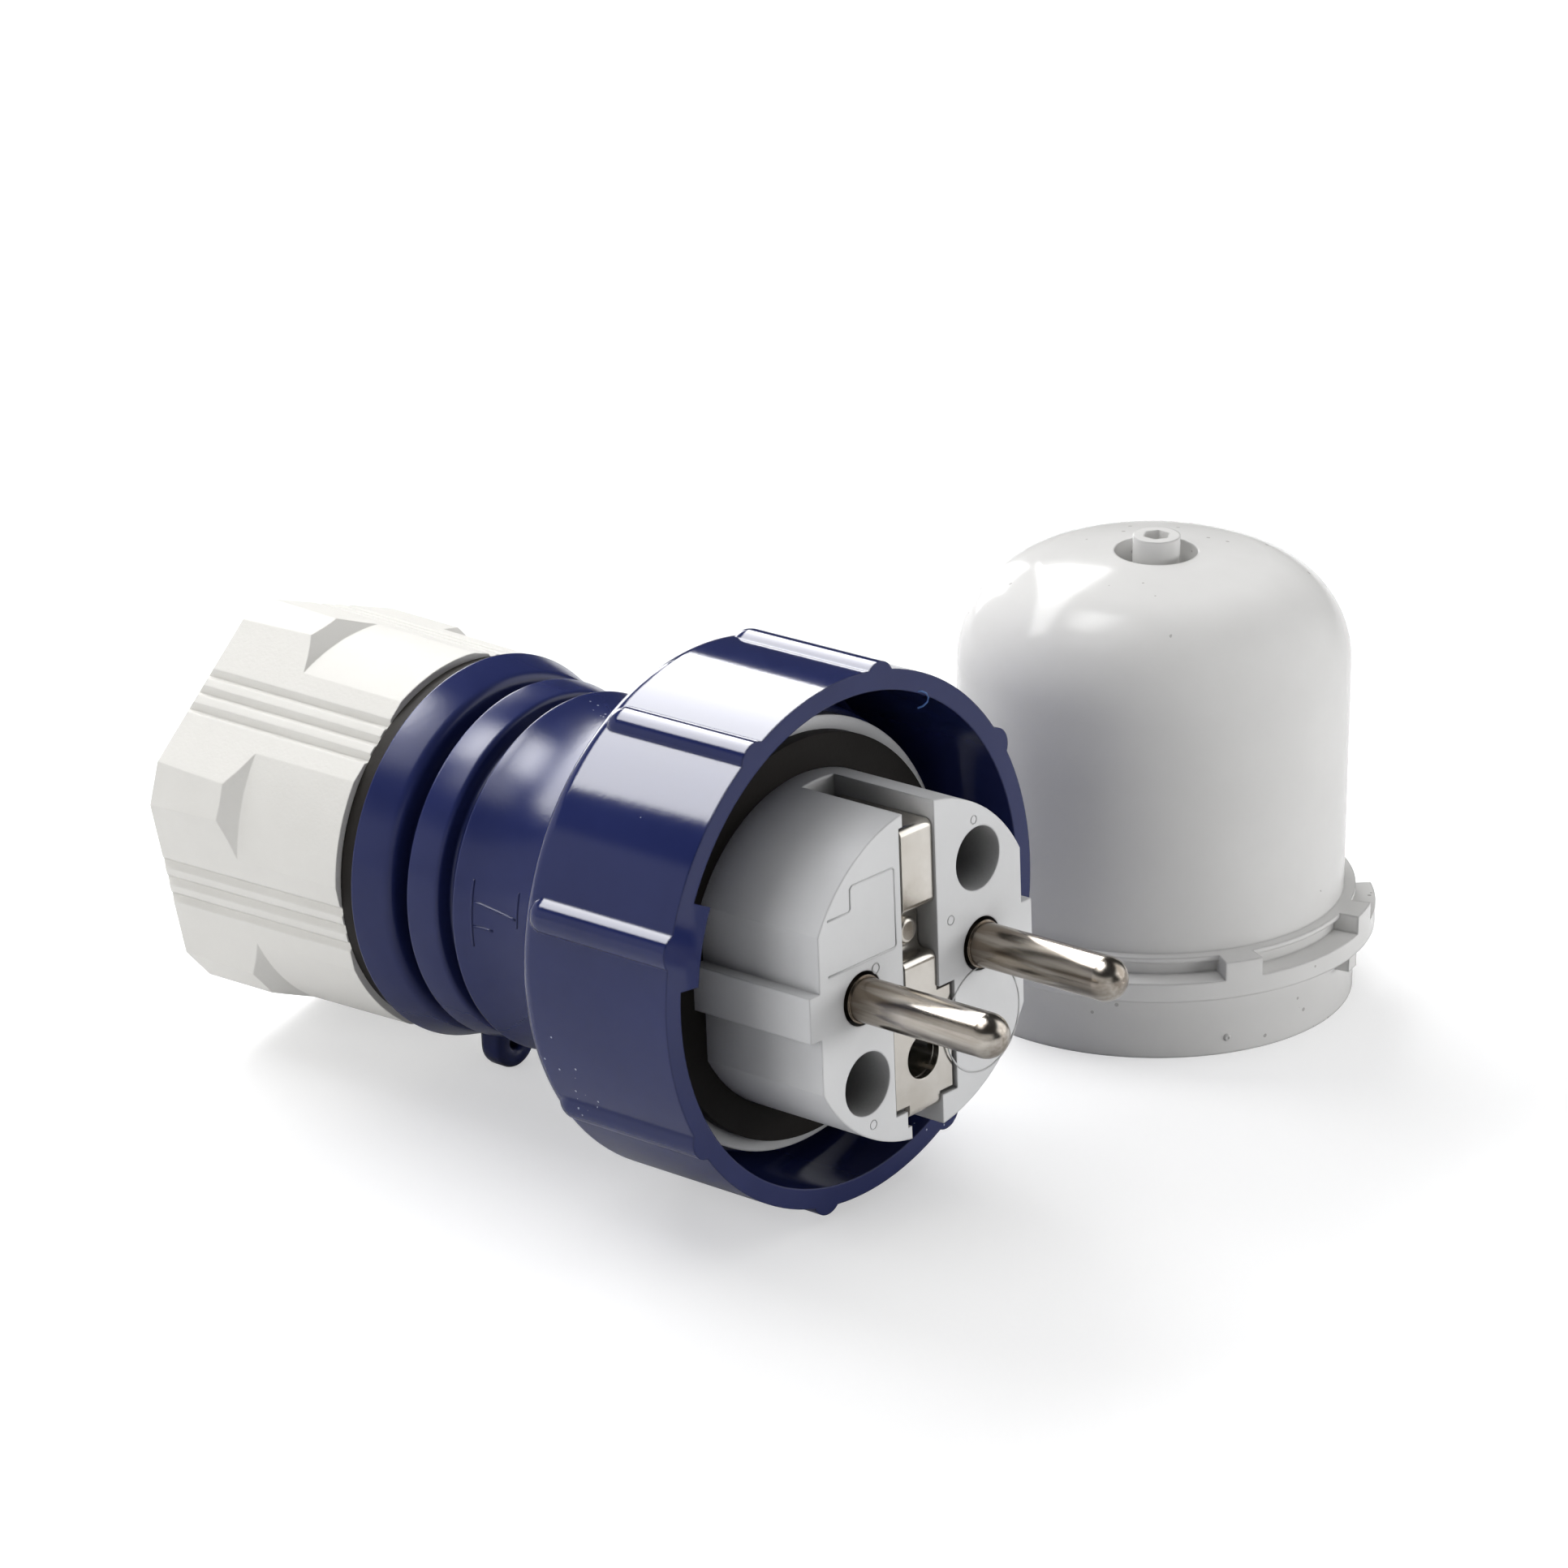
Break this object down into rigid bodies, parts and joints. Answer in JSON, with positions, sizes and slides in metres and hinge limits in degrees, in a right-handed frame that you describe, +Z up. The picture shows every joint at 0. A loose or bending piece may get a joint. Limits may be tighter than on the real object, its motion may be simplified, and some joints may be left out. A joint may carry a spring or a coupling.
{
  "type": "waterproof schuko connector",
  "caption": "Rubber-sealed round-pin earthed plug with bayonet locking ring, hexagonal cable gland nut and a dome cap standing beside it.",
  "frame": {"origin": "centre of the bounding box on the floor that the plug and its cap stand on", "axes": "+X the way the pins point (the plug's axis rises by its rest tilt), +Y from the plug to its cap, +Z up"},
  "size_m": [0.1122, 0.1216, 0.0591],
  "materials": {
    "blue_plastic": "satin gloss",
    "blue_ring_plastic": "gloss",
    "grey_insert": "satin",
    "grey_nut": "fine textured matt",
    "grey_cap": "gloss",
    "claw_plastic": "matt",
    "dark_rubber": "matt",
    "nickel": "nickel plated",
    "brass_block": "machined",
    "steel_screws": "zinc plated"
  },
  "bodies": {
    "plug": {"housing": "blue_plastic", "contact_carrier": "grey_insert", "carrier_back": "grey_insert", "face_gasket": "dark_rubber", "flange_seal": "dark_rubber", "nut_seal": "dark_rubber", "cable_grommet": "dark_rubber", "live_pin": "nickel", "neutral_pin": "nickel", "earth_strap": "nickel", "earth_rivet": "nickel", "earth_socket": "nickel", "earth_terminal": "brass_block", "terminal_screws": "steel_screws", "fixing_screws": "steel_screws", "clamp_claw": "claw_plastic", "protective_cap": "grey_cap"},
    "ring": {"locking_ring": "blue_ring_plastic"},
    "nut_travel": {"slip_washer": "steel_screws"},
    "nut": {"gland_nut": "grey_nut"}
  },
  "joints": [
    {"name": "ring_turn", "type": "hinge", "parent": "plug", "child": "ring", "pos_m": [0.0171, -0.03205, 0.02943], "axis": [0.9987, 0, 0.0502], "continuous": true},
    {"name": "nut_slide", "type": "slide", "parent": "plug", "child": "nut_travel", "axis": [-0.9987, 0, -0.0502], "range_m": [0, 0.0121]},
    {"name": "nut_turn", "type": "hinge", "parent": "nut_travel", "child": "nut", "pos_m": [-0.03974, -0.03095, 0.02487], "axis": [-0.9987, 0, -0.0502], "range_deg": [0, 1440]}
  ],
  "couplings": [
    {"joint": "nut_slide", "follows": "nut_turn", "m_per_rad": 0.00047746}
  ]
}
